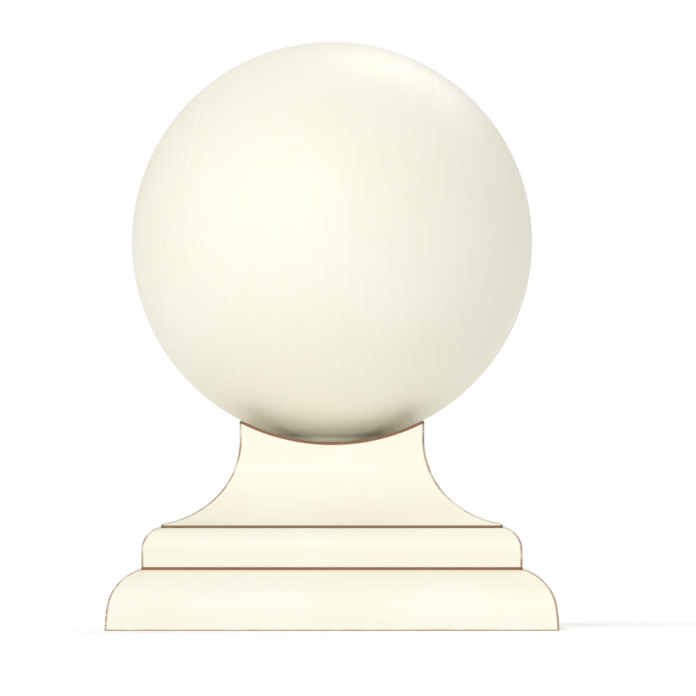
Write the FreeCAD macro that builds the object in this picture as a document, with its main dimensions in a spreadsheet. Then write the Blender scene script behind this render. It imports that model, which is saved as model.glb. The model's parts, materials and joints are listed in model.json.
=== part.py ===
"""Ball-topped cap for a square timber fence post.

A mitred frame of four ovolo-moulded rails slips over the post. A plinth board closes the frame and bears on
the post's end, a swept neck block stands on the plinth, and a glued-up turned ball sits over two crossing
coves in the neck's top. A hanger bolt clamps ball, neck and plinth together, and each joint has a thin brown
rubber seal.
Millimetres, +Z up. The origin is the centre of the underside.
"""

import FreeCAD, Part
import math
import os

import Sketcher

V = FreeCAD.Vector
Z_AXIS = V(0, 0, 1)
SIDES = 4

DIMENSIONS = [
    # post and overall width
    ("post_width", 100.0),
    ("post_clearance", 1.0),
    ("base_width", 150.0),
    # moulded rails
    ("skirt_height", 20.0),
    ("ovolo_lower_radius", 43.0),
    ("ovolo_upper_radius", 14.6),
    ("drip_inset", 4.0),
    ("drip_width", 3.0),
    ("drip_depth", 2.5),
    ("arris", 0.5),
    # seals
    ("seal_thickness", 0.8),
    # plinth board
    ("plinth_width", 126.0),
    ("plinth_height", 13.0),
    ("shoulder_height", 7.1),
    ("shoulder_radius", 7.3),
    ("tongue_height", 2.0),
    ("tongue_gap", 0.2),
    # neck block
    ("neck_foot_width", 113.0),
    ("neck_foot_edge", 0.3),
    ("neck_top_width", 61.2),
    ("neck_straight_start", 28.4),
    ("neck_upper_radius", 27.0),
    ("neck_foot_radius", 34.0),
    ("neck_saddle_height", 26.6),
    ("neck_blank_height", 34.5),
    ("edging_width", 2.4),
    # ball
    ("ball_diameter", 133.0),
    ("ball_board_thickness", 45.0),
    ("collar_diameter", 32.0),
    ("collar_gap", 0.2),
    ("tenon_diameter", 24.0),
    ("tenon_length", 10.0),
    # hanger bolt, nut and washer
    ("bolt_diameter", 8.0),
    ("bolt_length", 100.0),
    ("bolt_pitch", 1.25),
    ("bolt_protrusion", 1.0),
    ("bolt_thread_length", 40.0),
    ("bolt_wood_pitch", 3.2),
    ("bolt_clearance_hole", 9.0),
    ("nut_pocket_diameter", 19.4),
    ("nut_pocket_depth", 11.5),
    ("nut_across_flats", 13.0),
    ("nut_height", 6.5),
    ("nut_collar_diameter", 12.4),
    ("nut_collar_height", 1.8),
    ("nut_lip", 0.5),
    ("nut_ring_diameter", 10.8),
    ("washer_diameter", 16.0),
    ("washer_hole", 8.4),
    ("washer_thickness", 1.6),
    # wood screws
    ("neck_screw_diameter", 4.0),
    ("neck_screw_length", 35.0),
    ("neck_screw_spacing", 50.0),
    ("skirt_screw_diameter", 3.5),
    ("skirt_screw_length", 30.0),
    ("skirt_screw_line", 57.0),
    ("skirt_screw_spacing", 80.0),
    ("head_ratio", 2.0),
    ("head_rim", 0.15),
    ("head_recess", 0.3),
    # holes for the screws that hold the cap to the post
    ("fixing_hole_diameter", 5.0),
    ("fixing_head_diameter", 10.0),
    ("fixing_hole_height", 9.0),
    ("fixing_hole_spacing", 40.0),
    ("fixing_face_depth", 1.0),
    # V-nails pressed across the mitres
    ("nail_apex", 56.5),
    ("nail_wing", 6.0),
    ("nail_thickness", 0.6),
    ("nail_height", 12.0),
    ("nail_recess", 0.3),
]

doc = FreeCAD.newDocument("post_cap")
sheet = doc.addObject("Spreadsheet::Sheet", "Dims")
for row, (alias, value) in enumerate(DIMENSIONS, start=1):
    sheet.set(f"A{row}", alias)
    sheet.set(f"B{row}", str(value))
    sheet.setAlias(f"B{row}", alias)
doc.recompute()


def dim(alias):
    """A driving dimension, read back from the sheet."""
    return float(sheet.get(alias))


# Levels up the cap, as expressions on the sheet.
SEAL_ON_RAILS = "Dims.skirt_height"
TONGUE = SEAL_ON_RAILS + " + Dims.seal_thickness - Dims.tongue_height"
SEAL_ON_PLINTH = TONGUE + " + Dims.tongue_height + Dims.plinth_height"
NECK = SEAL_ON_PLINTH + " + Dims.seal_thickness"
BALL_CENTRE = NECK + " + Dims.neck_saddle_height + Dims.seal_thickness + Dims.ball_diameter / 2"
WASHER = TONGUE + " + Dims.nut_pocket_depth - Dims.washer_thickness"
NUT = WASHER + " - Dims.nut_height"
NYLON_RING = NUT + " - Dims.nut_collar_height + Dims.nut_lip"
BOLT_FOOT = NUT + " - Dims.nut_collar_height - Dims.bolt_protrusion"

# Other lengths that several parts share.
INSIDE = "Dims.post_width / 2 + Dims.post_clearance"
INSIDE_MM = dim("post_width") / 2 + dim("post_clearance")
BALL_RADIUS = dim("ball_diameter") / 2

sub_parts = []


# ---------------------------------------------------------------- sketch and feature helpers

def sub_part(item, level="0"):
    """Names a finished sub-part after its node and stands it at its level."""
    item.Label = item.Name
    item.setExpression(".Placement.Base.z", level)
    sub_parts.append(item)
    return item


def new_body(name, level="0"):
    """A PartDesign body for one sub-part."""
    return sub_part(doc.addObject("PartDesign::Body", name), level)


def new_sketch(body, name, plane):
    """A sketch on one of the body's own origin planes."""
    sketch = body.newObject("Sketcher::SketchObject", name)
    support = next(f for f in body.Origin.OriginFeatures if f.Role == plane + "_Plane")
    sketch.AttachmentSupport = [(support, "")]
    sketch.MapMode = "FlatFace"
    return sketch


def datum(sketch, name, kind, where, value, expression):
    """A dimensional constraint bound to the sheet."""
    index = sketch.addConstraint(Sketcher.Constraint(kind, *where, value))
    sketch.renameConstraint(index, name)
    sketch.setExpression("Constraints." + name, expression)


def outline(sketch, points, arcs=None):
    """A closed outline through points, in order: (name, x, y, x expression, y expression).

    arcs maps the index of a span to (centre, radius expression); the other spans are straight. A point with
    no expressions is where two arcs blend, and the first of those starts out upright.
    """
    arcs = arcs or {}
    ends = []
    for i, (_, x, y, _, _) in enumerate(points):
        _, x2, y2, _, _ = points[(i + 1) % len(points)]
        if i not in arcs:
            geometry = sketch.addGeometry(Part.LineSegment(V(x, y, 0), V(x2, y2, 0)), False)
            ends.append((geometry, 1, 2))
            continue
        centre, radius_expression = arcs[i]
        radius = math.hypot(x - centre[0], y - centre[1])
        first = math.atan2(y - centre[1], x - centre[0])
        last = math.atan2(y2 - centre[1], x2 - centre[0])
        counterclockwise = (last - first) % (2 * math.pi) < math.pi
        low, high = (first, last) if counterclockwise else (last, first)
        circle = Part.Circle(V(centre[0], centre[1], 0), Z_AXIS, radius)
        geometry = sketch.addGeometry(Part.ArcOfCircle(circle, low, high), False)
        ends.append((geometry, 1, 2) if counterclockwise else (geometry, 2, 1))
        datum(sketch, f"radius_{i}", "Radius", (geometry,), radius, radius_expression)
        if points[(i + 1) % len(points)][3] is None:
            sketch.addConstraint(Sketcher.Constraint("Horizontal", geometry, 3, geometry, ends[-1][1]))
    for i, (name, x, y, x_expression, y_expression) in enumerate(points):
        before, _, end = ends[i - 1]
        after, start, _ = ends[i]
        if x_expression is None:
            sketch.addConstraint(Sketcher.Constraint("Tangent", before, end, after, start))
            continue
        sketch.addConstraint(Sketcher.Constraint("Coincident", before, end, after, start))
        datum(sketch, name + "_x", "DistanceX", (-1, 1, after, start), x, x_expression)
        datum(sketch, name + "_y", "DistanceY", (-1, 1, after, start), y, y_expression)


def circles(sketch, name, centres, diameter_alias):
    """Equal circles at centres: (x, y, x expression, y expression). No expression means on the axis."""
    for i, (x, y, x_expression, y_expression) in enumerate(centres):
        circle = Part.Circle(V(x, y, 0), Z_AXIS, dim(diameter_alias) / 2)
        geometry = sketch.addGeometry(circle, False)
        label = f"{name}_{i}_size"
        datum(sketch, label, "Diameter", (geometry,), dim(diameter_alias), "Dims." + diameter_alias)
        for axis, value, expression in ((-2, x, x_expression), (-1, y, y_expression)):
            if expression is None:
                sketch.addConstraint(Sketcher.Constraint("PointOnObject", geometry, 3, axis))
                continue
            kind = "DistanceX" if axis == -2 else "DistanceY"
            label = f"{name}_{i}_{'x' if axis == -2 else 'y'}"
            datum(sketch, label, kind, (-1, 1, geometry, 3), value, expression)


def square(sketch, name, half, half_expression):
    """A square about the sketch's origin."""
    corners = [(-half, -half), (half, -half), (half, half), (-half, half)]
    spans = [
        sketch.addGeometry(Part.LineSegment(V(*corners[i], 0), V(*corners[(i + 1) % SIDES], 0)), False)
        for i in range(SIDES)
    ]
    for i, span in enumerate(spans):
        sketch.addConstraint(Sketcher.Constraint("Coincident", span, 2, spans[(i + 1) % SIDES], 1))
        sketch.addConstraint(Sketcher.Constraint("Horizontal" if i % 2 == 0 else "Vertical", span))
    datum(sketch, name + "_right", "DistanceX", (-1, 1, spans[1], 1), half, half_expression)
    datum(sketch, name + "_left", "DistanceX", (spans[3], 1, -1, 1), half, half_expression)
    datum(sketch, name + "_top", "DistanceY", (-1, 1, spans[2], 1), half, half_expression)
    datum(sketch, name + "_bottom", "DistanceY", (spans[0], 1, -1, 1), half, half_expression)


def pad(body, sketch, name, length_expression, both_ways=False):
    """Adds the sketch's area, upwards from its plane or half to each side of it."""
    feature = body.newObject("PartDesign::Pad", name)
    feature.Profile = sketch
    feature.SideType = "Symmetric" if both_ways else "One side"
    feature.setExpression("Length", length_expression)
    doc.recompute()
    return feature


def pocket(body, sketch, name, length_expression=None, both_ways=False):
    """Cuts the sketch's area upwards from its plane, or right through both ways, and checks that it cut."""
    volume = body.Shape.Volume
    feature = body.newObject("PartDesign::Pocket", name)
    feature.Profile = sketch
    feature.SideType = "Symmetric" if both_ways else "One side"
    feature.Reversed = not both_ways
    if length_expression:
        feature.setExpression("Length", length_expression)
    else:
        feature.Type = "ThroughAll"
    doc.recompute()
    if not feature.Shape.Volume < volume - 0.01:
        raise RuntimeError(f"{body.Label}: {name} cut nothing")
    return feature


def countersunk_hole(body, sketch, name, diameter, head, inwards=False):
    """Drills right through from the sketch's plane, with a 90 degree countersink at that plane."""
    volume = body.Shape.Volume
    feature = body.newObject("PartDesign::Hole", name)
    feature.Profile = sketch
    doc.recompute()
    feature.Reversed = not inwards
    feature.DrillPoint = "Flat"
    feature.DepthType = "ThroughAll"
    feature.setExpression("Diameter", diameter)
    feature.HoleCutType = "Countersink"
    feature.HoleCutCustomValues = True
    feature.HoleCutCountersinkAngle = 90
    feature.setExpression("HoleCutDiameter", head)
    doc.recompute()
    if not feature.Shape.Volume < volume - 0.01:
        raise RuntimeError(f"{body.Label}: {name} cut nothing")
    return feature


def repeat_round(body, name, features):
    """Repeats features on all four sides."""
    feature = body.newObject("PartDesign::PolarPattern", name)
    feature.Originals = features
    feature.Axis = (next(f for f in body.Origin.OriginFeatures if f.Role == "Z_Axis"), [""])
    feature.Angle = 360
    feature.Occurrences = SIDES
    body.Tip = feature
    doc.recompute()
    return feature


def repeat_mirrored(body, name, features, plane):
    """Repeats features on the other side of one of the body's origin planes."""
    feature = body.newObject("PartDesign::Mirrored", name)
    feature.Originals = features
    feature.MirrorPlane = (next(f for f in body.Origin.OriginFeatures if f.Role == plane + "_Plane"), [""])
    body.Tip = feature
    doc.recompute()
    return feature


def blend_arc(first_centre, first_radius, radius, end):
    """The second arc of a two-arc moulding, which runs on smoothly from the first and stops at end.

    Returns its centre, the one further from the cap's axis, and the point where the two arcs meet.
    """
    first, gap = V(*first_centre, 0), V(end[0] - first_centre[0], end[1] - first_centre[1], 0)
    reach = abs(radius - first_radius)
    along = (reach**2 - radius**2 + gap.Length**2) / (2 * gap.Length)
    across = math.sqrt(reach**2 - along**2)
    unit = gap / gap.Length
    side = V(-unit.y, unit.x, 0)
    centre = max((first + unit * along + side * way * across for way in (1, -1)), key=lambda c: c.x)
    towards = (first - centre) if radius > first_radius else (centre - first)
    meet = first + towards / towards.Length * first_radius
    return (centre.x, centre.y), (meet.x, meet.y)


# ---------------------------------------------------------------- moulded rails and their V-nails

def rail_profile(sketch):
    """The rail's section: flat inside, top and bottom, an ovolo outside, and a drip groove underneath."""
    inner, outer = INSIDE_MM, dim("base_width") / 2
    top, seat = dim("skirt_height"), dim("plinth_width") / 2
    groove_out = outer - dim("drip_inset")
    groove_in = groove_out - dim("drip_width")
    lower_radius, upper_radius = dim("ovolo_lower_radius"), dim("ovolo_upper_radius")
    lower_centre = (outer - lower_radius, dim("arris"))
    upper_centre, blend = blend_arc(lower_centre, lower_radius, upper_radius, (seat, top))
    half_base = "Dims.base_width / 2"
    groove_outside = half_base + " - Dims.drip_inset"
    groove_inside = groove_outside + " - Dims.drip_width"
    points = [
        ("inner_foot", inner, 0, INSIDE, "0"),
        ("groove_inner", groove_in, 0, groove_inside, "0"),
        ("groove_inner_top", groove_in, dim("drip_depth"), groove_inside, "Dims.drip_depth"),
        ("groove_outer_top", groove_out, dim("drip_depth"), groove_outside, "Dims.drip_depth"),
        ("groove_outer", groove_out, 0, groove_outside, "0"),
        ("outer_foot", outer - dim("arris"), 0, half_base + " - Dims.arris", "0"),
        ("outer_arris", outer, dim("arris"), half_base, "Dims.arris"),
        ("ovolo_blend", blend[0], blend[1], None, None),
        ("outer_top", seat, top, "Dims.plinth_width / 2", "Dims.skirt_height"),
        ("inner_top", inner, top, INSIDE, "Dims.skirt_height"),
    ]
    arcs = {6: (lower_centre, "Dims.ovolo_lower_radius"), 7: (upper_centre, "Dims.ovolo_upper_radius")}
    outline(sketch, points, arcs)


def mitre_waste(sketch):
    """The triangle sawn off beyond the 45 degree mitre at one end of a rail."""
    inner, outer = INSIDE_MM - 1, dim("base_width") / 2 + 1
    low, high = INSIDE + " - 1", "Dims.base_width / 2 + 1"
    outline(sketch, [
        ("inside", inner, inner, low, low),
        ("outside", outer, outer, high, high),
        ("beyond", inner, outer, low, high),
    ])


def nail_outline(sketch):
    """A V-nail seen from below: two thin wings at right angles, opening towards the corner."""
    half, apex, tip = dim("nail_thickness") / 2, dim("nail_apex"), dim("nail_apex") + dim("nail_wing")
    near, far, end = (
        "Dims.nail_apex - Dims.nail_thickness / 2",
        "Dims.nail_apex + Dims.nail_thickness / 2",
        "Dims.nail_apex + Dims.nail_wing",
    )
    outline(sketch, [
        ("apex", apex - half, apex - half, near, near),
        ("tip_x", tip, apex - half, end, near),
        ("tip_x_inner", tip, apex + half, end, far),
        ("crotch", apex + half, apex + half, far, far),
        ("tip_y_inner", apex + half, tip, far, end),
        ("tip_y", apex - half, tip, near, end),
    ])


def skirt_rail(name, turn, fixing_holes):
    """One rail, made with its moulded face towards +X and turned into place about the cap's axis."""
    body = new_body(name)
    profile = new_sketch(body, name + "_profile", "XZ")
    rail_profile(profile)
    pad(body, profile, name + "_length", "Dims.base_width", both_ways=True)

    waste = new_sketch(body, name + "_mitre_waste", "XY")
    mitre_waste(waste)
    end_cuts = [pocket(body, waste, name + "_mitre")]

    nail = new_sketch(body, name + "_nail_outline", "XY")
    nail_outline(nail)
    end_cuts.append(pocket(body, nail, name + "_nail_slot", "Dims.nail_height + Dims.nail_recess"))

    screw = new_sketch(body, name + "_screw_place", "XY")
    place = (dim("skirt_screw_line"), dim("skirt_screw_spacing") / 2,
             "Dims.skirt_screw_line", "Dims.skirt_screw_spacing / 2")
    circles(screw, "screw", [place], "skirt_screw_diameter")
    end_cuts.append(countersunk_hole(
        body, screw, name + "_screw_hole", "Dims.skirt_screw_diameter",
        head="Dims.skirt_screw_diameter * Dims.head_ratio + 2 * (Dims.head_recess + Dims.head_rim)",
    ))

    if fixing_holes:
        fixing = new_sketch(body, name + "_fixing_place", "YZ")
        fixing.setExpression(".AttachmentOffset.Base.z", "Dims.base_width / 2")
        place = (dim("fixing_hole_spacing") / 2, dim("fixing_hole_height"),
                 "Dims.fixing_hole_spacing / 2", "Dims.fixing_hole_height")
        circles(fixing, "fixing", [place], "fixing_hole_diameter")
        end_cuts.append(countersunk_hole(
            body, fixing, name + "_fixing_hole", "Dims.fixing_hole_diameter",
            head="Dims.fixing_head_diameter + 2 * Dims.fixing_face_depth", inwards=True,
        ))

    repeat_mirrored(body, name + "_other_end", end_cuts, "XZ")
    body.Placement = FreeCAD.Placement(V(0, 0, 0), FreeCAD.Rotation(Z_AXIS, turn))
    return body


def mitre_nails():
    """Four V-nails, one across each mitre, pressed in from below and a little under flush."""
    body = new_body("mitre_v_nails", "Dims.nail_recess")
    body.AllowCompound = True
    sketch = new_sketch(body, "nail_outline", "XY")
    nail_outline(sketch)
    nail = pad(body, sketch, "nail", "Dims.nail_height")
    repeat_round(body, "all_mitres", [nail])


# ---------------------------------------------------------------- plinth board

def plinth_board():
    """The board that closes the frame: moulded shoulder, locating tongue, nut pocket and screw holes.

    The body's own zero level is the underside of the tongue, the face that bears on the post's end.
    """
    body = new_body("plinth_board", TONGUE)
    blank = new_sketch(body, "plinth_blank", "XY")
    square(blank, "blank", dim("plinth_width") / 2, "Dims.plinth_width / 2")
    pad(body, blank, "plinth_thickness", "Dims.plinth_height + Dims.tongue_height")

    # what the moulding cutter takes off one edge, above the shoulder's arc, and below it for the tongue
    half, full = dim("plinth_width") / 2, dim("plinth_height") + dim("tongue_height")
    spring = full - dim("shoulder_height")
    centre = (half - dim("shoulder_radius"), spring)
    top_x = centre[0] + math.sqrt(dim("shoulder_radius") ** 2 - dim("shoulder_height") ** 2)
    edge, top = "Dims.plinth_width / 2", "Dims.plinth_height + Dims.tongue_height"
    top_x_expression = (
        "Dims.plinth_width / 2 - Dims.shoulder_radius"
        " + sqrt(Dims.shoulder_radius ^ 2 - Dims.shoulder_height ^ 2)"
    )
    shoulder = new_sketch(body, "shoulder_waste", "XZ")
    outline(shoulder, [
        ("spring", half, spring, edge, top + " - Dims.shoulder_height"),
        ("crown", top_x, full, top_x_expression, top),
        ("above", top_x, full + 1, top_x_expression, top + " + 1"),
        ("outside_top", half + 1, full + 1, edge + " + 1", top + " + 1"),
        ("outside", half + 1, spring, edge + " + 1", top + " - Dims.shoulder_height"),
    ], {0: (centre, "Dims.shoulder_radius")})
    moulding = pocket(body, shoulder, "shoulder", both_ways=True)

    tongue_half = INSIDE_MM - dim("tongue_gap")
    tongue_edge = INSIDE + " - Dims.tongue_gap"
    rebate = new_sketch(body, "rebate_waste", "XZ")
    outline(rebate, [
        ("tongue_foot", tongue_half, -1, tongue_edge, "-1"),
        ("outside_foot", half + 1, -1, edge + " + 1", "-1"),
        ("outside_step", half + 1, dim("tongue_height"), edge + " + 1", "Dims.tongue_height"),
        ("tongue_top", tongue_half, dim("tongue_height"), tongue_edge, "Dims.tongue_height"),
    ])
    step = pocket(body, rebate, "rebate", both_ways=True)
    repeat_round(body, "moulded_edges", [moulding, step])

    through = new_sketch(body, "bolt_place", "XY")
    circles(through, "bolt", [(0, 0, None, None)], "bolt_clearance_hole")
    pocket(body, through, "bolt_hole")
    nut = new_sketch(body, "nut_place", "XY")
    circles(nut, "nut", [(0, 0, None, None)], "nut_pocket_diameter")
    pocket(body, nut, "nut_pocket", "Dims.nut_pocket_depth")

    corner = new_sketch(body, "neck_screw_place", "XY")
    half_spacing = dim("neck_screw_spacing") / 2
    place = (half_spacing, half_spacing, "Dims.neck_screw_spacing / 2", "Dims.neck_screw_spacing / 2")
    circles(corner, "neck_screw", [place], "neck_screw_diameter")
    neck_screw = countersunk_hole(
        body, corner, "neck_screw_hole", "Dims.neck_screw_diameter",
        head="Dims.neck_screw_diameter * Dims.head_ratio + 2 * (Dims.head_recess + Dims.head_rim)",
    )
    repeat_round(body, "neck_screw_holes", [neck_screw])

    pilot = new_sketch(body, "skirt_screw_place", "XY")
    line, spread = dim("skirt_screw_line"), dim("skirt_screw_spacing") / 2
    circles(pilot, "skirt_screw", [
        (line, spread, "Dims.skirt_screw_line", "Dims.skirt_screw_spacing / 2"),
        (line, -spread, "Dims.skirt_screw_line", "-Dims.skirt_screw_spacing / 2"),
    ], "skirt_screw_diameter")
    reach = (
        "Dims.head_recess + Dims.skirt_screw_length - Dims.skirt_height"
        " - Dims.seal_thickness + Dims.tongue_height"
    )
    repeat_round(body, "skirt_screw_pilots", [pocket(body, pilot, "skirt_screw_pilot", reach)])


# ---------------------------------------------------------------- neck block

def cove_sketch(body, name, plane, radius, radius_expression):
    """A circle about the ball's centre, on one of the neck's upright planes."""
    sketch = new_sketch(body, name, plane)
    height = dim("neck_saddle_height") + dim("seal_thickness") + BALL_RADIUS
    circle = sketch.addGeometry(Part.Circle(V(0, height, 0), Z_AXIS, radius), False)
    sketch.addConstraint(Sketcher.Constraint("PointOnObject", circle, 3, -2))
    datum(sketch, "cove_radius", "Radius", (circle,), radius, radius_expression)
    datum(sketch, "cove_height", "DistanceY", (-1, 1, circle, 3), height,
          "Dims.neck_saddle_height + Dims.seal_thickness + Dims.ball_diameter / 2")
    return sketch


def neck_block():
    """The swept block under the ball, alike on all four sides, with two crossing coves in its top.

    A rebate round the coves' rim takes the rubber edging.
    """
    body = new_body("neck_block", NECK)
    half_foot, half_top = dim("neck_foot_width") / 2, dim("neck_top_width") / 2
    blank = new_sketch(body, "neck_blank", "XY")
    square(blank, "blank", half_foot, "Dims.neck_foot_width / 2")
    pad(body, blank, "neck_thickness", "Dims.neck_blank_height")

    radius, foot_radius = dim("neck_upper_radius"), dim("neck_foot_radius")
    start, edge, full = dim("neck_straight_start"), dim("neck_foot_edge"), dim("neck_blank_height")
    centre = (half_top + radius, start)
    foot_centre, blend = blend_arc(centre, radius, foot_radius, (half_foot, edge))
    foot, top = "Dims.neck_foot_width / 2", "Dims.neck_top_width / 2"
    waste = new_sketch(body, "sweep_waste", "XZ")
    outline(waste, [
        ("sweep_top", half_top, start, top, "Dims.neck_straight_start"),
        ("sweep_blend", blend[0], blend[1], None, None),
        ("foot_edge", half_foot, edge, foot, "Dims.neck_foot_edge"),
        ("outside_foot", half_foot + 1, edge, foot + " + 1", "Dims.neck_foot_edge"),
        ("outside_top", half_foot + 1, full + 1, foot + " + 1", "Dims.neck_blank_height + 1"),
        ("straight_top", half_top, full + 1, top, "Dims.neck_blank_height + 1"),
    ], {0: (centre, "Dims.neck_upper_radius"), 1: (foot_centre, "Dims.neck_foot_radius")})
    repeat_round(body, "swept_sides", [pocket(body, waste, "sweep", both_ways=True)])

    for plane in ("XZ", "YZ"):
        cove = cove_sketch(body, "cove_" + plane.lower(), plane, BALL_RADIUS, "Dims.ball_diameter / 2")
        pocket(body, cove, "cove_along_" + plane.lower(), both_ways=True)
    rebate = cove_sketch(body, "edging_rebate_place", "YZ", BALL_RADIUS + dim("seal_thickness"),
                         "Dims.ball_diameter / 2 + Dims.seal_thickness")
    rebate.setExpression(".AttachmentOffset.Base.z", "Dims.neck_top_width / 2 - Dims.edging_width")
    repeat_round(body, "edging_rebates", [pocket(body, rebate, "edging_rebate")])

    through = new_sketch(body, "neck_bolt_place", "XY")
    circles(through, "bolt", [(0, 0, None, None)], "bolt_clearance_hole")
    pocket(body, through, "neck_bolt_hole")

    landing = new_sketch(body, "landing_place", "XY")
    landing.setExpression(".AttachmentOffset.Base.z", "Dims.neck_saddle_height")
    rim = dim("collar_diameter") / 2 + dim("collar_gap")
    circle = landing.addGeometry(Part.Circle(V(0, 0, 0), Z_AXIS, rim), False)
    landing.addConstraint(Sketcher.Constraint("Coincident", circle, 3, -1, 1))
    datum(landing, "landing_radius", "Radius", (circle,), rim, "Dims.collar_diameter / 2 + Dims.collar_gap")
    pocket(body, landing, "landing")

    mortise = new_sketch(body, "mortise_place", "XY")
    floor = "Dims.neck_saddle_height - Dims.tenon_length"
    mortise.setExpression(".AttachmentOffset.Base.z", floor)
    circles(mortise, "mortise", [(0, 0, None, None)], "tenon_diameter")
    pocket(body, mortise, "mortise", "Dims.tenon_length + 1")

    pilot = new_sketch(body, "neck_pilot_place", "XY")
    half_spacing = dim("neck_screw_spacing") / 2
    place = (half_spacing, half_spacing, "Dims.neck_screw_spacing / 2", "Dims.neck_screw_spacing / 2")
    circles(pilot, "pilot", [place], "neck_screw_diameter")
    reach = (
        "Dims.head_recess + Dims.neck_screw_length - Dims.tongue_height"
        " - Dims.plinth_height - Dims.seal_thickness"
    )
    repeat_round(body, "neck_pilots", [pocket(body, pilot, "neck_pilot", reach)])


# ---------------------------------------------------------------- seals

def flat_seals():
    """The frame between rails and plinth, the square between plinth and neck, and the ring under the ball."""
    frame = new_body("plinth_seal", SEAL_ON_RAILS)
    sketch = new_sketch(frame, "plinth_seal_outline", "XY")
    square(sketch, "outer", dim("plinth_width") / 2, "Dims.plinth_width / 2")
    square(sketch, "inner", INSIDE_MM, INSIDE)
    pad(frame, sketch, "plinth_seal_thickness", "Dims.seal_thickness")
    holes = new_sketch(frame, "plinth_seal_screw_place", "XY")
    line, spread = dim("skirt_screw_line"), dim("skirt_screw_spacing") / 2
    circles(holes, "screw", [
        (line, spread, "Dims.skirt_screw_line", "Dims.skirt_screw_spacing / 2"),
        (line, -spread, "Dims.skirt_screw_line", "-Dims.skirt_screw_spacing / 2"),
    ], "skirt_screw_diameter")
    repeat_round(frame, "plinth_seal_holes", [pocket(frame, holes, "plinth_seal_hole")])

    neck = new_body("neck_seal", SEAL_ON_PLINTH)
    sketch = new_sketch(neck, "neck_seal_outline", "XY")
    square(sketch, "outer", dim("neck_foot_width") / 2, "Dims.neck_foot_width / 2")
    pad(neck, sketch, "neck_seal_thickness", "Dims.seal_thickness")
    bolt = new_sketch(neck, "neck_seal_bolt_place", "XY")
    circles(bolt, "bolt", [(0, 0, None, None)], "bolt_clearance_hole")
    pocket(neck, bolt, "neck_seal_bolt_hole")
    screws = new_sketch(neck, "neck_seal_screw_place", "XY")
    half_spacing = dim("neck_screw_spacing") / 2
    place = (half_spacing, half_spacing, "Dims.neck_screw_spacing / 2", "Dims.neck_screw_spacing / 2")
    circles(screws, "screw", [place], "neck_screw_diameter")
    repeat_round(neck, "neck_seal_holes", [pocket(neck, screws, "neck_seal_hole")])

    seat = new_body("seat_seal", NECK + " + Dims.neck_saddle_height")
    sketch = new_sketch(seat, "seat_seal_outline", "XY")
    circles(sketch, "outer", [(0, 0, None, None)], "collar_diameter")
    circles(sketch, "eye", [(0, 0, None, None)], "tenon_diameter")
    pad(seat, sketch, "seat_seal_thickness", "Dims.seal_thickness")


def part_cylinder(name, radius, height, start):
    """An upright Part cylinder on the axis. All three sizes are expressions on the sheet."""
    cylinder = doc.addObject("Part::Cylinder", name)
    cylinder.setExpression("Radius", radius)
    cylinder.setExpression("Height", height)
    cylinder.setExpression(".Placement.Base.z", start)
    return cylinder


def square_column(name, width):
    """A square Part box on the axis, from well under the ball up to its centre."""
    column = doc.addObject("Part::Box", name)
    for side in ("Length", "Width"):
        column.setExpression(side, width)
    column.setExpression("Height", "Dims.ball_diameter")
    for axis in "xy":
        column.setExpression(f".Placement.Base.{axis}", f"-({width}) / 2")
    column.setExpression(".Placement.Base.z", "-Dims.ball_diameter")
    return column


def crossed_coves(name, radius):
    """Two crossed Part cylinders about the ball's centre."""
    tools = []
    for axis, turn in (("x", FreeCAD.Rotation(V(0, 1, 0), 90)), ("y", FreeCAD.Rotation(V(1, 0, 0), -90))):
        cove = doc.addObject("Part::Cylinder", f"{name}_{axis}")
        cove.setExpression("Radius", radius)
        cove.setExpression("Height", "Dims.base_width")
        cove.Placement = FreeCAD.Placement(V(0, 0, 0), turn)
        cove.setExpression(f".Placement.Base.{axis}", "-Dims.base_width / 2")
        tools.append(cove)
    hollow = doc.addObject("Part::MultiFuse", name)
    hollow.Shapes = tools
    return hollow


def saddle_edging():
    """The rubber strip let into the rim of the neck's coves. Its own origin is the ball's centre."""
    frame = doc.addObject("Part::Cut", "edging_frame")
    frame.Base = square_column("edging_outside", "Dims.neck_top_width")
    frame.Tool = square_column("edging_inside", "Dims.neck_top_width - 2 * Dims.edging_width")
    strip = doc.addObject("Part::MultiCommon", "edging_strip")
    strip.Shapes = [frame, crossed_coves("edging_under", "Dims.ball_diameter / 2 + Dims.seal_thickness")]
    edging = sub_part(doc.addObject("Part::Cut", "saddle_edging"), BALL_CENTRE)
    edging.Base = strip
    edging.Tool = crossed_coves("edging_over", "Dims.ball_diameter / 2")


# ---------------------------------------------------------------- ball

def ball_slice(name, start, thickness):
    """The part of the ball between two upright planes, start and thickness along Y."""
    sphere = doc.addObject("Part::Sphere", name + "_sphere")
    sphere.setExpression("Radius", "Dims.ball_diameter / 2")
    slab = doc.addObject("Part::Box", name + "_slab")
    for side in ("Length", "Height"):
        slab.setExpression(side, "Dims.ball_diameter + 2")
    slab.setExpression("Width", thickness)
    for axis in "xz":
        slab.setExpression(f".Placement.Base.{axis}", "-Dims.ball_diameter / 2 - 1")
    slab.setExpression(".Placement.Base.y", start)
    board = doc.addObject("Part::MultiCommon", name)
    board.Shapes = [sphere, slab]
    return board


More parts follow.
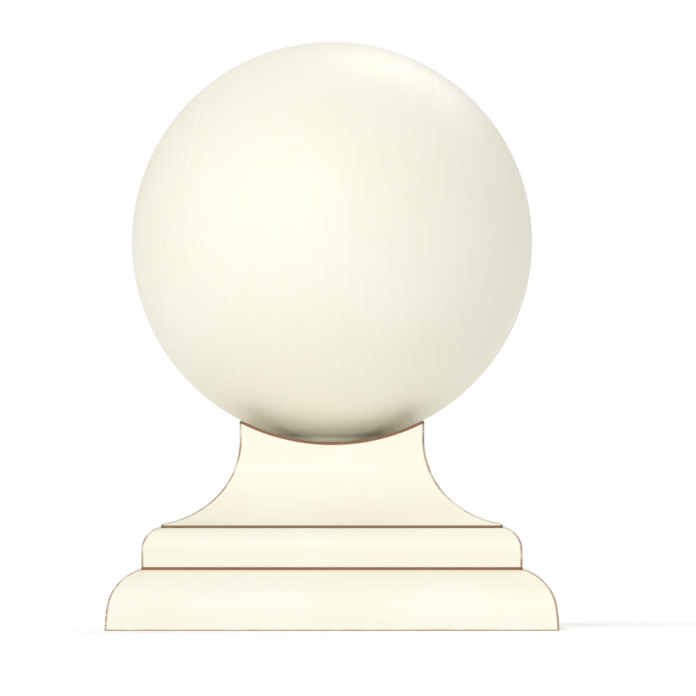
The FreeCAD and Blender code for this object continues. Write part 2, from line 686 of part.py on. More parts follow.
def ball_boards():
    """Three boards glued face to face and turned to a ball, the middle one with the collar and the tenon.

    Their own origin is the ball's centre.
    """
    side_thickness = "(Dims.ball_diameter - Dims.ball_board_thickness) / 2"
    sub_part(ball_slice("ball_front_board", "-Dims.ball_diameter / 2", side_thickness), BALL_CENTRE)
    sub_part(ball_slice("ball_back_board", "Dims.ball_board_thickness / 2", side_thickness), BALL_CENTRE)

    joined = doc.addObject("Part::MultiFuse", "ball_core_joined")
    joined.Shapes = [
        ball_slice("ball_core_slice", "-Dims.ball_board_thickness / 2", "Dims.ball_board_thickness"),
        part_cylinder("ball_core_collar", "Dims.collar_diameter / 2", "Dims.collar_diameter / 2",
                      "-Dims.ball_diameter / 2"),
        part_cylinder("ball_core_tenon", "Dims.tenon_diameter / 2", "Dims.tenon_length + Dims.tenon_diameter",
                      "-Dims.ball_diameter / 2 - Dims.seal_thickness - Dims.tenon_length"),
    ]
    core = sub_part(doc.addObject("Part::Cut", "ball_core_board"), BALL_CENTRE)
    core.Base = joined
    core.Tool = part_cylinder("ball_core_bore", "Dims.bolt_diameter / 2", "Dims.bolt_length",
                              f"{BOLT_FOOT} - ({BALL_CENTRE})")


# ---------------------------------------------------------------- hanger bolt, washer and nut

def thread_section(radius, root, pitch, low, high):
    """Points (radius, height) up a V thread from low to high."""
    turns = int((high - low) / pitch)
    points = []
    for i in range(turns):
        base = low + i * pitch
        points += [(radius, base), (radius, base + pitch * 0.125), (root, base + pitch * 0.5),
                   (radius, base + pitch * 0.875)]
    return points + [(radius, low + turns * pitch)]


def turned(points):
    """A solid of revolution about Z from (radius, height) points that start and end on the axis."""
    wire = Part.makePolygon([V(r, 0, z) for r, z in points] + [V(points[0][0], 0, points[0][1])])
    return Part.Face(wire).revolve(V(0, 0, 0), Z_AXIS, 360)


def feature(name, shape, level):
    """A sub-part whose shape is computed here from the sheet."""
    item = doc.addObject("Part::Feature", name)
    item.Shape = shape
    return sub_part(item, level)


def hanger_bolt():
    """Machine thread below, plain shank, and a coarse wood thread above, all inside the bolt's diameter."""
    radius, pitch, length = dim("bolt_diameter") / 2, dim("bolt_pitch"), dim("bolt_length")
    chamfer, point_length = 0.8, 8.0
    points = [(0, 0), (radius - chamfer, 0)]
    points += thread_section(radius, radius - 0.61 * pitch, pitch, chamfer, dim("bolt_thread_length"))
    points += thread_section(
        radius, radius - 1.1, dim("bolt_wood_pitch"), length / 2, length - point_length
    )
    points += [(1.0, length - 0.5), (0, length)]
    feature("hanger_bolt", turned(points), BOLT_FOOT)


def bolt_washer():
    """The plain washer under the nut."""
    washer = sub_part(doc.addObject("Part::Cut", "bolt_washer"), WASHER)
    washer.Base = part_cylinder("bolt_washer_disc", "Dims.washer_diameter / 2", "Dims.washer_thickness", "0")
    washer.Tool = part_cylinder("bolt_washer_eye", "Dims.washer_hole / 2", "Dims.washer_thickness", "0")


def lock_nut():
    """A lock nut, collar downwards, with its nylon ring. Its own zero level is where collar meets hexagon."""
    flats, height = dim("nut_across_flats"), dim("nut_height")
    corner, lip = flats / math.sqrt(3), dim("nut_lip")
    collar, collar_height = dim("nut_collar_diameter") / 2, dim("nut_collar_height")
    bore, ring = dim("bolt_diameter") / 2, dim("nut_ring_diameter") / 2
    angles = [math.radians(60 * i) for i in range(7)]
    hexagon = Part.makePolygon([V(corner * math.cos(a), corner * math.sin(a), 0) for a in angles])
    ease = (corner - flats / 2) * 0.6
    body = Part.Face(hexagon).extrude(V(0, 0, height)).common(turned([
        (0, 0), (flats / 2, 0), (corner, ease), (corner, height - ease), (flats / 2, height), (0, height),
    ]))
    body = body.fuse(Part.makeCylinder(collar, collar_height, V(0, 0, -collar_height)))
    body = body.cut(Part.makeCylinder(bore, height + 2 * collar_height, V(0, 0, -collar_height)))
    body = body.cut(Part.makeCylinder(ring, collar_height - lip, V(0, 0, lip - collar_height)))
    body = body.cut(Part.makeCylinder(ring - lip, lip, V(0, 0, -collar_height)))
    feature("lock_nut", body.removeSplitter(), NUT)
    nylon = Part.makeCylinder(ring, collar_height - lip).cut(Part.makeCylinder(bore, collar_height))
    feature("lock_nut_nylon_ring", nylon, NYLON_RING)


# ---------------------------------------------------------------- wood screws

def wood_screw(diameter, length):
    """A countersunk screw pointing up from its head, with a cross recess and a coarse thread."""
    radius, head, rim = diameter / 2, diameter / 2 * dim("head_ratio"), dim("head_rim")
    pitch, tip, plain_end = diameter * 0.45, diameter * 0.9, length * 0.4
    points = [(0, 0), (head, 0), (head, rim), (radius, rim + head - radius), (radius, plain_end)]
    points += thread_section(radius, radius * 0.68, pitch, plain_end + pitch, length - tip)
    points += [(0, length)]
    screw = turned(points)
    arm_width, reach, depth = diameter * 0.17, diameter * 0.62, diameter * 0.55
    for turn in (0, 90):
        arm = Part.makeBox(2 * reach, arm_width, depth, V(-reach, -arm_width / 2, 0))
        arm = arm.common(Part.makeCone(reach, arm_width, depth))
        arm.rotate(V(0, 0, 0), Z_AXIS, turn)
        screw = screw.cut(arm)
    return screw


def screw_group(name, diameter, length, places, turns, level):
    """Equal screws as one compound of separate solids, each turned as it happened to stop."""
    screws = []
    for (x, y), turn in zip(places, turns):
        screw = wood_screw(diameter, length)
        screw.rotate(V(0, 0, 0), Z_AXIS, turn)
        screw.translate(V(x, y, 0))
        screws.append(screw)
    feature(name, Part.makeCompound(screws), level + " + Dims.head_recess")


def all_screws():
    """Four screws from the plinth up into the neck, and eight from the rails up into the plinth."""
    half = dim("neck_screw_spacing") / 2
    corners = [(half, half), (-half, half), (-half, -half), (half, -half)]
    screw_group("neck_screws", dim("neck_screw_diameter"), dim("neck_screw_length"), corners,
                [18, 71, 40, 5], TONGUE)
    line, spread = dim("skirt_screw_line"), dim("skirt_screw_spacing") / 2
    places = []
    for y in (spread, -spread):
        places += [(line, y), (-y, line), (-line, -y), (y, -line)]
    screw_group("skirt_screws", dim("skirt_screw_diameter"), dim("skirt_screw_length"), places,
                [12, 55, 33, 80, 64, 27, 8, 49], "0")


# ---------------------------------------------------------------- build, check and write

def build():
    """Makes every sub-part."""
    for name, turn, fixing in (
        ("skirt_right_rail", 0, True),
        ("skirt_back_rail", 90, False),
        ("skirt_left_rail", 180, True),
        ("skirt_front_rail", 270, False),
    ):
        skirt_rail(name, turn, fixing)
    mitre_nails()
    plinth_board()
    neck_block()
    flat_seals()
    saddle_edging()
    ball_boards()
    hanger_bolt()
    bolt_washer()
    lock_nut()
    all_screws()
    doc.recompute()


def check():
    """Stops on any failed feature or unusable shape."""
    for item in doc.Objects:
        if "Invalid" in item.State or "Error" in item.State:
            raise RuntimeError(f"{item.Name} failed: {item.State}")
    for item in sub_parts:
        if item.Shape.isNull() or not item.Shape.isValid() or not item.Shape.Solids:
            raise RuntimeError(f"{item.Label} has no valid solid")


def write():
    """Writes one STEP file for each sub-part."""
    os.makedirs("parts", exist_ok=True)
    for item in sub_parts:
        item.Shape.exportStep(f"parts/{item.Label}.step")
        box = item.Shape.BoundBox
        print(f"{item.Label:22s} solids {len(item.Shape.Solids):2d}  volume {item.Shape.Volume:11.1f}"
              f"  z {box.ZMin:7.2f} to {box.ZMax:7.2f}  x {box.XMin:7.2f} to {box.XMax:7.2f}")


build()
check()
write()
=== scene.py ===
"""Looks of a cream-painted, ball-topped timber cap for a square fence post.

Timber pieces and rubber seals are built here as closed meshes with eased arrises, in the place of their CAD
nodes. The bolt and the screws are cleaned copies of their CAD meshes, and the other small parts keep theirs.
Lengths are in metres. Sizes that the frame doesn't give are named below in millimetres.
"""
import functools
import json
import math

import bmesh
import bpy
from mathutils import Matrix, Vector

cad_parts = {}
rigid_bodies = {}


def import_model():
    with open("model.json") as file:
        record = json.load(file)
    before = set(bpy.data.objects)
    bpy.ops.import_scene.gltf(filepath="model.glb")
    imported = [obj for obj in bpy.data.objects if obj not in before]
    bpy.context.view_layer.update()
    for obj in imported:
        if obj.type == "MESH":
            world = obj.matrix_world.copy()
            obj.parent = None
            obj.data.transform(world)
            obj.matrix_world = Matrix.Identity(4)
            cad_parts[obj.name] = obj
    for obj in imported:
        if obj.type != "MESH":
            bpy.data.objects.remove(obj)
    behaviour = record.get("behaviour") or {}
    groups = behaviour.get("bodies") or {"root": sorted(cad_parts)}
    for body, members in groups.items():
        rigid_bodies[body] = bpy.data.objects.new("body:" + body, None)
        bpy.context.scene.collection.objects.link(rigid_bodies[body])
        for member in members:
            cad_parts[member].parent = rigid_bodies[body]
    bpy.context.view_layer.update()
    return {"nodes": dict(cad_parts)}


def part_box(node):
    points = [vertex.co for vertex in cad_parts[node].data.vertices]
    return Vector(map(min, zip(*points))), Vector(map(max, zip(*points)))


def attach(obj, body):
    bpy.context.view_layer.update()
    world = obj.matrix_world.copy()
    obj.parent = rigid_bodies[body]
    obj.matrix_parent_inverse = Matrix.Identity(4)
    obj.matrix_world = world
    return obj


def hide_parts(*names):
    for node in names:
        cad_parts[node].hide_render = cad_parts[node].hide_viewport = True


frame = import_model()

MM = 0.001
SIDES = 4
QUARTER_TURNS = [Matrix.Rotation(math.radians(90 * side), 4, "Z") for side in range(SIDES)]

# ------------------------------------------------------------------ sizes, from the frame where it has them

RAIL_LOW, RAIL_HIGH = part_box("skirt_right_rail")
INSIDE, BASE_HALF, RAIL_TOP = RAIL_LOW.x, RAIL_HIGH.x, RAIL_HIGH.z
PLINTH_LOW, PLINTH_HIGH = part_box("plinth_board")
NECK_LOW, NECK_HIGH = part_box("neck_block")
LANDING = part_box("seat_seal")[0].z
PLINTH_SEAL_LOW, PLINTH_SEAL_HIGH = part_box("plinth_seal")
NECK_SEAL_LOW, NECK_SEAL_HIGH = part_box("neck_seal")
BALL_LOW, BALL_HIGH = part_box("ball_core_board")
BOLT_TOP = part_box("hanger_bolt")[1].z
POCKET_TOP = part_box("bolt_washer")[1].z
NECK_TOP_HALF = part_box("saddle_edging")[1].x

BALL_RADIUS = 66.5 * MM
BALL_CENTRE = BALL_HIGH.z - BALL_RADIUS
BOARD_HALF = 22.5 * MM
SEAL = 0.8 * MM
EDGING_WIDTH = 2.4 * MM
SEAL_EDGE_BACK, SEAL_FACE_BACK, SEAL_BULGE = 0.15 * MM, 0.1 * MM, 0.12 * MM
UPRIGHT_CORNER, PLINTH_CORNER, INNER_CORNER = 0.9 * MM, 1.0 * MM, 0.5 * MM
ARRIS, SMALL_ARRIS, FINE_ARRIS, MITRE_EASE = 0.5 * MM, 0.3 * MM, 0.2 * MM, 0.14 * MM
PLINTH_ARRIS, NECK_ARRIS, NOSE_ARRIS, TENON_CHAMFER = 0.35 * MM, 0.25 * MM, 0.12 * MM, 0.5 * MM
COLLAR_FILLET = 1.2 * MM
COLLAR_RADIUS = 16.0 * MM
LANDING_RADIUS = 16.2 * MM
TENON_RADIUS = 12.0 * MM
BOLT_HOLE = 4.5 * MM
BOLT_BORE = 4.0 * MM
NUT_POCKET = 9.7 * MM

OVOLO_LOWER, OVOLO_UPPER, OVOLO_START = 43.0 * MM, 14.6 * MM, 0.5 * MM
GROOVE_OUTER, GROOVE_INNER, GROOVE_DEPTH = BASE_HALF - 4.0 * MM, BASE_HALF - 7.0 * MM, 2.5 * MM
SHOULDER_HEIGHT, SHOULDER_RADIUS = 7.1 * MM, 7.3 * MM
TONGUE_HALF, TONGUE_TOP = INSIDE - 0.2 * MM, RAIL_TOP + SEAL
SWEEP_START, SWEEP_UPPER, SWEEP_FOOT, SWEEP_EDGE = 28.4 * MM, 27.0 * MM, 34.0 * MM, 0.3 * MM
SWEEP_TRIM = 3.0 * MM

SKIRT_SCREW_LINE, SKIRT_SCREW_SPREAD, SKIRT_SCREW_RADIUS = 57.0 * MM, 40.0 * MM, 1.75 * MM
NECK_SCREW_SPREAD, NECK_SCREW_RADIUS = 25.0 * MM, 2.0 * MM
SCREW_MARGIN = 0.45 * MM
FIXING_SPREAD, FIXING_HEIGHT, FIXING_RADIUS, FIXING_HEAD = 20.0 * MM, 9.0 * MM, 2.5 * MM, 6.0 * MM
PAINT_LAP, PAINT_NEAR = 0.35 * MM, 1.0 * MM
NAIL_APEX, NAIL_WING, NAIL_HALF, NAIL_TOP = 56.5 * MM, 6.0 * MM, 0.3 * MM, 12.3 * MM
OVERRUN, HAIR, WELD = 1.0 * MM, 0.05 * MM, 0.001 * MM
SMOOTH_BELOW = math.radians(32)
DRILL_SIDES, RAIL_STEPS, BALL_SIDES, BALL_STEPS, BALL_POLE = 40, 58, 224, 118, 89.6

# ------------------------------------------------------------------ mesh helpers


def span(first, last, steps):
    """Evenly spaced numbers from first to last."""
    return [first + (last - first) * i / steps for i in range(steps + 1)]


def arc(centre, radius, start, end, steps):
    """Points on an arc, from angle start to end in degrees, both included."""
    turns = [math.radians(angle) for angle in span(start, end, steps)]
    return [(centre[0] + radius * math.cos(a), centre[1] + radius * math.sin(a)) for a in turns]


def angle_at(centre, point):
    """Direction from centre to point, in degrees."""
    return math.degrees(math.atan2(point[1] - centre[1], point[0] - centre[0]))


def blend_arc(first_centre, first_radius, radius, end):
    """Centre of a moulding's second arc, which runs on smoothly from the first and stops at end."""
    first = Vector(first_centre)
    gap = Vector(end) - first
    reach = abs(radius - first_radius)
    along = (reach**2 - radius**2 + gap.length**2) / (2 * gap.length)
    across = math.sqrt(reach**2 - along**2)
    unit = gap.normalized()
    side = Vector((-unit.y, unit.x))
    return max((first + unit * along + side * way * across for way in (1, -1)), key=lambda c: c.x)


def eased(corners, steps=4):
    """An outline with rounded corners. corners are (x, z, radius); a radius of 0 keeps the point as it is."""
    points = []
    for i, (x, z, radius) in enumerate(corners):
        here = Vector((x, z))
        if not radius:
            points.append((x, z))
            continue
        before = (Vector(corners[i - 1][:2]) - here).normalized()
        after = (Vector(corners[(i + 1) % len(corners)][:2]) - here).normalized()
        half = before.angle(after) / 2
        reach = radius / math.tan(half)
        centre = here + (before + after).normalized() * (radius / math.sin(half))
        first, last = here + before * reach, here + after * reach
        start, end = angle_at(centre, first), angle_at(centre, last)
        turn = (end - start + 180) % 360 - 180
        points += arc(centre, radius, start, start + turn, steps)
    return points


def loft(name, rings, closed=False):
    """A mesh through rings with equal counts of points. closed joins the last ring to the first."""
    count = len(rings[0])
    points = [tuple(p) for ring in rings for p in ring]
    faces = []
    for r in range(len(rings) if closed else len(rings) - 1):
        low, high = r * count, (r + 1) % len(rings) * count
        for i in range(count):
            j = (i + 1) % count
            faces.append((low + i, low + j, high + j, high + i))
    if not closed:
        faces.append(tuple(range(count)))
        faces.append(tuple(range(len(points) - count, len(points))))
    mesh = bpy.data.meshes.new(name)
    mesh.from_pydata(points, [], faces)
    outwards(mesh)
    return mesh


def outwards(mesh):
    """Turns every face of a closed mesh outwards."""
    shape = bmesh.new()
    shape.from_mesh(mesh)
    bmesh.ops.recalc_face_normals(shape, faces=shape.faces)
    shape.to_mesh(mesh)
    shape.free()


def square_ring(half, corner, height, side_steps=36, corner_steps=6):
    """Points round a square with rounded corners. height is a number, or a function of x and y."""
    ring = []
    flat = half - corner
    for side in range(SIDES):
        turn = Matrix.Rotation(math.radians(90 * side), 2)
        local = [(half, flat * (2 * i / side_steps - 1)) for i in range(side_steps)]
        local += arc((flat, flat), corner, 0, 90, corner_steps)[:-1]
        ring += [turn @ Vector(p) for p in local]
    return [Vector((p.x, p.y, height(p.x, p.y) if callable(height) else height)) for p in ring]


def round_ring(radius, height, like):
    """The same count of points as a square ring, each in the same direction, on a circle."""
    ring = [Vector((p.x, p.y)).normalized() * radius for p in like]
    return [Vector((p.x, p.y, height(p.x, p.y) if callable(height) else height)) for p in ring]


def between(first, last, steps):
    """Rings between two rings, neither included."""
    return [[a.lerp(b, k / steps) for a, b in zip(first, last)] for k in range(1, steps)]


def turned_rings(profile, count):
    """Rings of revolution about Z from (radius, height) points."""
    angles = [2 * math.pi * i / count for i in range(count)]
    return [[Vector((r * math.cos(a), r * math.sin(a), z)) for a in angles] for r, z in profile]


def prism(outline, low, high):
    """Two rings that extrude an outline of (x, y) points."""
    return [[Vector((x, y, z)) for x, y in outline] for z in (low, high)]


def cut(mesh, cutters):
    """The mesh with closed cutter meshes taken out of it. Nothing is left behind but the result."""
    target = bpy.data.objects.new(mesh.name, mesh)
    collection = bpy.data.collections.new(mesh.name + "_cutters")
    bpy.context.scene.collection.objects.link(target)
    for i, cutter in enumerate(cutters):
        collection.objects.link(bpy.data.objects.new(f"{mesh.name}_cutter_{i}", cutter))
    modifier = target.modifiers.new("holes", "BOOLEAN")
    modifier.operation, modifier.solver = "DIFFERENCE", "EXACT"
    modifier.operand_type, modifier.collection = "COLLECTION", collection
    bpy.context.view_layer.update()
    evaluated = target.evaluated_get(bpy.context.evaluated_depsgraph_get())
    result = bpy.data.meshes.new_from_object(evaluated)
    for thing in list(collection.objects) + [target]:
        bpy.data.objects.remove(thing)
    bpy.data.collections.remove(collection)
    for cutter in cutters:
        bpy.data.meshes.remove(cutter)
    return result


def moved(mesh, matrix):
    """The mesh, moved."""
    mesh.transform(matrix)
    return mesh


def drill(radius, low, high):
    """A cutter for a plain hole up the Z axis."""
    return loft("drill", turned_rings([(radius, low), (radius, high)], DRILL_SIDES))


def countersink(radius, head, high):
    """A cutter for a hole up the Z axis, with a 90 degree countersink that has radius head at z 0."""
    profile = [(head + OVERRUN, -OVERRUN), (radius, head - radius), (radius, high)]
    return loft("countersink", turned_rings(profile, DRILL_SIDES))


def finish_mesh(mesh, name, paint):
    """Welds and shades a mesh, and stores how much paint each vertex carries."""
    shape = bmesh.new()
    shape.from_mesh(mesh)
    bmesh.ops.remove_doubles(shape, verts=shape.verts, dist=WELD)
    bmesh.ops.dissolve_degenerate(shape, edges=shape.edges, dist=WELD)
    bmesh.ops.recalc_face_normals(shape, faces=shape.faces)
    shape.to_mesh(mesh)
    shape.free()
    amounts = [paint(vertex.co) for vertex in mesh.vertices]
    mesh.attributes.new("paint", "FLOAT", "POINT").data.foreach_set("value", amounts)
    mesh.polygons.foreach_set("use_smooth", [True] * len(mesh.polygons))
    mesh.set_sharp_from_angle(angle=SMOOTH_BELOW)
    mesh.name = name
    return mesh


def piece(mesh, name, material, slot, *nodes, paint=lambda point: 1.0):
    """A finished piece that stands for these CAD nodes."""
    thing = bpy.data.objects.new(name, finish_mesh(mesh, name, paint))
    bpy.context.scene.collection.objects.link(thing)
    thing.data.materials.clear()
    thing.data.materials.append(material)
    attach(thing, "root")
    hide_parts(*nodes)
    return thing


# ------------------------------------------------------------------ rails


def rail_outline():
    """The rail's section as (distance from the cap's axis, height), starting at the inner foot."""
    lower_centre = (BASE_HALF - OVOLO_LOWER, OVOLO_START)
    top_edge = (PLINTH_SEAL_HIGH.x, RAIL_TOP)
    upper_centre = blend_arc(lower_centre, OVOLO_LOWER, OVOLO_UPPER, top_edge)
    blend = angle_at(lower_centre, upper_centre)
    lower = arc(lower_centre, OVOLO_LOWER, 0, blend, 8)
    upper = arc(upper_centre, OVOLO_UPPER, blend, angle_at(upper_centre, top_edge), 18)
    corners = [(INSIDE, 0.0, ARRIS)]
    corners += [(x, 0.0, 0) for x in span(INSIDE + 2 * ARRIS, GROOVE_INNER - ARRIS, 6)]
    corners += [
        (GROOVE_INNER, 0.0, FINE_ARRIS),
        (GROOVE_INNER, GROOVE_DEPTH, SMALL_ARRIS),
        (GROOVE_OUTER, GROOVE_DEPTH, SMALL_ARRIS),
        (GROOVE_OUTER, 0.0, FINE_ARRIS),
        (BASE_HALF, 0.0, ARRIS),
    ]
    corners += [(x, z, 0) for x, z in lower[1:] + upper[1:-1]]
    corners += [(*top_edge, FINE_ARRIS), (INSIDE, RAIL_TOP, SMALL_ARRIS)]
    corners += [(INSIDE, z, 0) for z in span(RAIL_TOP - 2 * ARRIS, 2 * ARRIS, 5)]
    return eased(corners)


def rail_mesh(name):
    """A rail with its moulding towards +X. Its mitred ends are eased, so that each joint is a fine line."""
    outline = [Vector(p) for p in rail_outline()]
    count = len(outline)
    inset = []
    for i, here in enumerate(outline):
        along = (outline[(i + 1) % count] - outline[i - 1]).normalized()
        inset.append(here - Vector((along.y, -along.x)) * MITRE_EASE)
    rings = []
    for share in span(-1, 1, RAIL_STEPS):
        rings.append([Vector((p.x, share * (p.x - 1.2 * MITRE_EASE), p.y)) for p in outline])
    for end, place in ((-1, 0), (1, len(rings) + 1)):
        rings.insert(place, [Vector((p.x, end * p.x, p.y)) for p in inset])
    return loft(name, rings)


def nail_cutter():
    """The slot for a V-nail at the mitre towards +X and +Y."""
    near, far, tip = NAIL_APEX - NAIL_HALF, NAIL_APEX + NAIL_HALF, NAIL_APEX + NAIL_WING
    outline = [(near, near), (tip, near), (tip, far), (far, far), (far, tip), (near, tip)]
    return loft("nail_slot", prism(outline, -OVERRUN, NAIL_TOP))


def rail_cutters(fixing_holes):
    """What is cut out of a rail: screw holes and nail slots from below, and fixing holes from the side."""
    screw_head = 2 * SKIRT_SCREW_RADIUS + SCREW_MARGIN
    aim = Matrix.Rotation(math.radians(-90), 4, "Y")
    cutters = []
    for way in (1, -1):
        screw = countersink(SKIRT_SCREW_RADIUS, screw_head, RAIL_TOP + OVERRUN)
        cutters.append(moved(screw, Matrix.Translation((SKIRT_SCREW_LINE, way * SKIRT_SCREW_SPREAD, 0))))
        cutters.append(moved(nail_cutter(), Matrix.Diagonal((1, way, 1, 1))))
        if way < 0:
            outwards(cutters[-1])
        if fixing_holes:
            fixing = countersink(FIXING_RADIUS, FIXING_HEAD, BASE_HALF - INSIDE + OVERRUN)
            place = Matrix.Translation((BASE_HALF, way * FIXING_SPREAD, FIXING_HEIGHT))
            cutters.append(moved(fixing, place @ aim))
    return cutters


def rail_paint(turn):
    """Paint on a rail's moulded face, down to the arris at its foot. The rest is bare."""
    back = turn.inverted()

    def paint(point):
        local = back @ point
        outside = local.x > PLINTH_SEAL_HIGH.x - PAINT_NEAR
        above_groove = local.z > GROOVE_DEPTH + FINE_ARRIS or local.x > BASE_HALF - PAINT_NEAR
        return min(1.0, 0.5 * local.z / PAINT_LAP) if outside and above_groove else 0.0

    return paint


def rails():
    """The four rails of the mitred frame."""
    for turn, side in zip(QUARTER_TURNS, ("right", "back", "left", "front")):
        fixing_holes = side in ("right", "left")
        name = f"skirt_{side}_rail"
        mesh = moved(cut(rail_mesh(name), rail_cutters(fixing_holes)), turn)
        grain = "Y" if fixing_holes else "X"
        material = painted_timber(f"painted_{side}_rail", grain, PITH[side])
        piece(mesh, name + "_painted", material, "painted_timber", name, paint=rail_paint(turn))


# ------------------------------------------------------------------ plinth board


def plinth_outline():
    """The board's edge as (half width, height), from the tongue's foot round to the crown of the shoulder.

    The last corner, on the board's axis, only shows eased() which way the outline closes, and is dropped.
    """
    spring = PLINTH_HIGH.z - SHOULDER_HEIGHT
    centre = (PLINTH_HIGH.x - SHOULDER_RADIUS, spring)
    top = math.degrees(math.asin(SHOULDER_HEIGHT / SHOULDER_RADIUS))
    corners = [
        (TONGUE_HALF, PLINTH_LOW.z, PLINTH_ARRIS),
        (TONGUE_HALF, TONGUE_TOP, 0),
        (PLINTH_HIGH.x, TONGUE_TOP, PLINTH_ARRIS),
    ]
    corners += [(x, z, 0) for x, z in arc(centre, SHOULDER_RADIUS, 0, top, 16)]
    inner = (0.0, (PLINTH_LOW.z + PLINTH_HIGH.z) / 2, 0)
    return [p for p in eased(corners + [inner]) if p[0] > 0]


def plinth_mesh(name):
    """The board, lofted from the nut pocket out round its edge and back over its top to the bolt hole."""
    rings = [square_ring(half, PLINTH_CORNER, height) for half, height in plinth_outline()]
    like = rings[0]
    hole_top = round_ring(BOLT_HOLE, PLINTH_HIGH.z, like)
    pocket = [
        round_ring(BOLT_HOLE, POCKET_TOP, like),
        round_ring(NUT_POCKET, POCKET_TOP, like),
        round_ring(NUT_POCKET, PLINTH_LOW.z, like),
    ]
    under = between(pocket[-1], rings[0], 14)
    over = between(rings[-1], hole_top, 12)
    return loft(name, pocket + under + rings + over + [hole_top], closed=True)


def plinth_paint(point):
    """Paint on the edge and top. The tongue and the face that meets the post are bare."""
    return 1.0 if point.z > TONGUE_TOP + HAIR else 0.0


def skirt_screw_drills(low, high):
    """Cutters for the eight screws that hold the rails."""
    drills = []
    for turn in QUARTER_TURNS:
        for way in (1, -1):
            place = Matrix.Translation((SKIRT_SCREW_LINE, way * SKIRT_SCREW_SPREAD, 0))
            drills.append(moved(drill(SKIRT_SCREW_RADIUS, low, high), turn @ place))
    return drills


def neck_screw_drills(low, high):
    """Cutters for the four screws that hold the neck."""
    place = Matrix.Translation((NECK_SCREW_SPREAD, NECK_SCREW_SPREAD, 0))
    return [moved(drill(NECK_SCREW_RADIUS, low, high), turn @ place) for turn in QUARTER_TURNS]


def plinth():
    """The plinth board with its screw holes."""
    screw_head = 2 * NECK_SCREW_RADIUS + SCREW_MARGIN
    through = PLINTH_HIGH.z - PLINTH_LOW.z + OVERRUN
    cutters = []
    for turn in QUARTER_TURNS:
        place = Matrix.Translation((NECK_SCREW_SPREAD, NECK_SCREW_SPREAD, PLINTH_LOW.z))
        cutters.append(moved(countersink(NECK_SCREW_RADIUS, screw_head, through), turn @ place))
    cutters += skirt_screw_drills(TONGUE_TOP - OVERRUN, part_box("skirt_screws")[1].z)
    mesh = cut(plinth_mesh("plinth_board"), cutters)
    material = painted_timber("painted_plinth", "X", PITH["plinth"])
    piece(mesh, "plinth_board_painted", material, "painted_timber", "plinth_board", paint=plinth_paint)


# ------------------------------------------------------------------ neck block and its seat


def saddle(radius):
    """Height of two crossed coves of that radius about the ball's centre."""
    return lambda x, y: BALL_CENTRE - math.sqrt(radius**2 - min(abs(x), abs(y)) ** 2)


def neck_sides():
    """The swept side as (half width, height above the neck's foot), from its nose to the top of the sweep."""
    centre = (NECK_TOP_HALF + SWEEP_UPPER, SWEEP_START)
    foot = (NECK_HIGH.x, SWEEP_EDGE)
    foot_centre = blend_arc(centre, SWEEP_UPPER, SWEEP_FOOT, foot)
    blend = angle_at(foot_centre, centre) % 360
    top = 180 + math.degrees(math.asin(SWEEP_TRIM / SWEEP_UPPER))
    lower = arc(foot_centre, SWEEP_FOOT, angle_at(foot_centre, foot) % 360, blend, 20)
    upper = arc(centre, SWEEP_UPPER, blend, top, 26)
    return [(NECK_HIGH.x - NOSE_ARRIS, 0.0), (NECK_HIGH.x, NOSE_ARRIS)] + lower + upper[1:]


def neck_throat(rim, steps=8):
    """Rings from the top of the sweep up to just under the saddle's rim, which rises to the corners."""
    flat = NECK_TOP_HALF - UPRIGHT_CORNER
    start = NECK_LOW.z + SWEEP_START - SWEEP_TRIM
    rings = []
    for k in range(1, steps + 1):
        ring = []
        for p in square_ring(NECK_TOP_HALF, UPRIGHT_CORNER, rim):
            height = start + (p.z - start) * k / steps
            below = max(0.0, NECK_LOW.z + SWEEP_START - height)
            swell = SWEEP_UPPER - math.sqrt(SWEEP_UPPER**2 - below**2)
            middle = Vector((max(-flat, min(flat, p.x)), max(-flat, min(flat, p.y))))
            side = middle + (p.xy - middle).normalized() * (UPRIGHT_CORNER + swell)
            ring.append(Vector((side.x, side.y, height)))
        rings.append(ring)
    return rings


def neck_mesh(name):
    """The neck, lofted from the bolt hole out under its foot, up its sides, over the rebate and the coves."""
    cove, rebate = saddle(BALL_RADIUS), saddle(BALL_RADIUS + SEAL)
    inside = NECK_TOP_HALF - EDGING_WIDTH
    bevel, soft = 0.3 * NECK_ARRIS, 0.5 * NECK_ARRIS
    sides = [square_ring(half, UPRIGHT_CORNER, NECK_LOW.z + height) for half, height in neck_sides()]
    like = sides[0]
    sides += neck_throat(lambda x, y: rebate(x, y) - NECK_ARRIS)
    top = [
        square_ring(NECK_TOP_HALF - bevel, UPRIGHT_CORNER, lambda x, y: rebate(x, y) - bevel),
        square_ring(NECK_TOP_HALF - NECK_ARRIS, UPRIGHT_CORNER, rebate),
        square_ring(inside, INNER_CORNER, rebate),
        square_ring(inside, INNER_CORNER, lambda x, y: cove(x, y) - soft),
        square_ring(inside - soft, INNER_CORNER, cove),
    ]
    landing = round_ring(LANDING_RADIUS, cove, like)
    top += [[Vector((p.x, p.y, cove(p.x, p.y))) for p in ring] for ring in between(top[-1], landing, 12)]
    socket_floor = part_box("ball_core_board")[0].z
    middle = [
        landing,
        round_ring(LANDING_RADIUS, LANDING, like),
        round_ring(TENON_RADIUS, LANDING, like),
        round_ring(TENON_RADIUS, socket_floor, like),
        round_ring(BOLT_HOLE, socket_floor, like),
        round_ring(BOLT_HOLE, NECK_LOW.z, like),
    ]
    under = between(middle[-1], sides[0], 8)
    return loft(name, under + sides + top + middle, closed=True)


def neck_paint(point):
    """Paint on the sides and in the coves. The underside and the seat under the ball's collar are bare."""
    seat = point.xy.length < LANDING_RADIUS + 2 * HAIR and point.z < LANDING + 2 * SEAL
    return 0.0 if seat or point.z < NECK_LOW.z + HAIR else 1.0


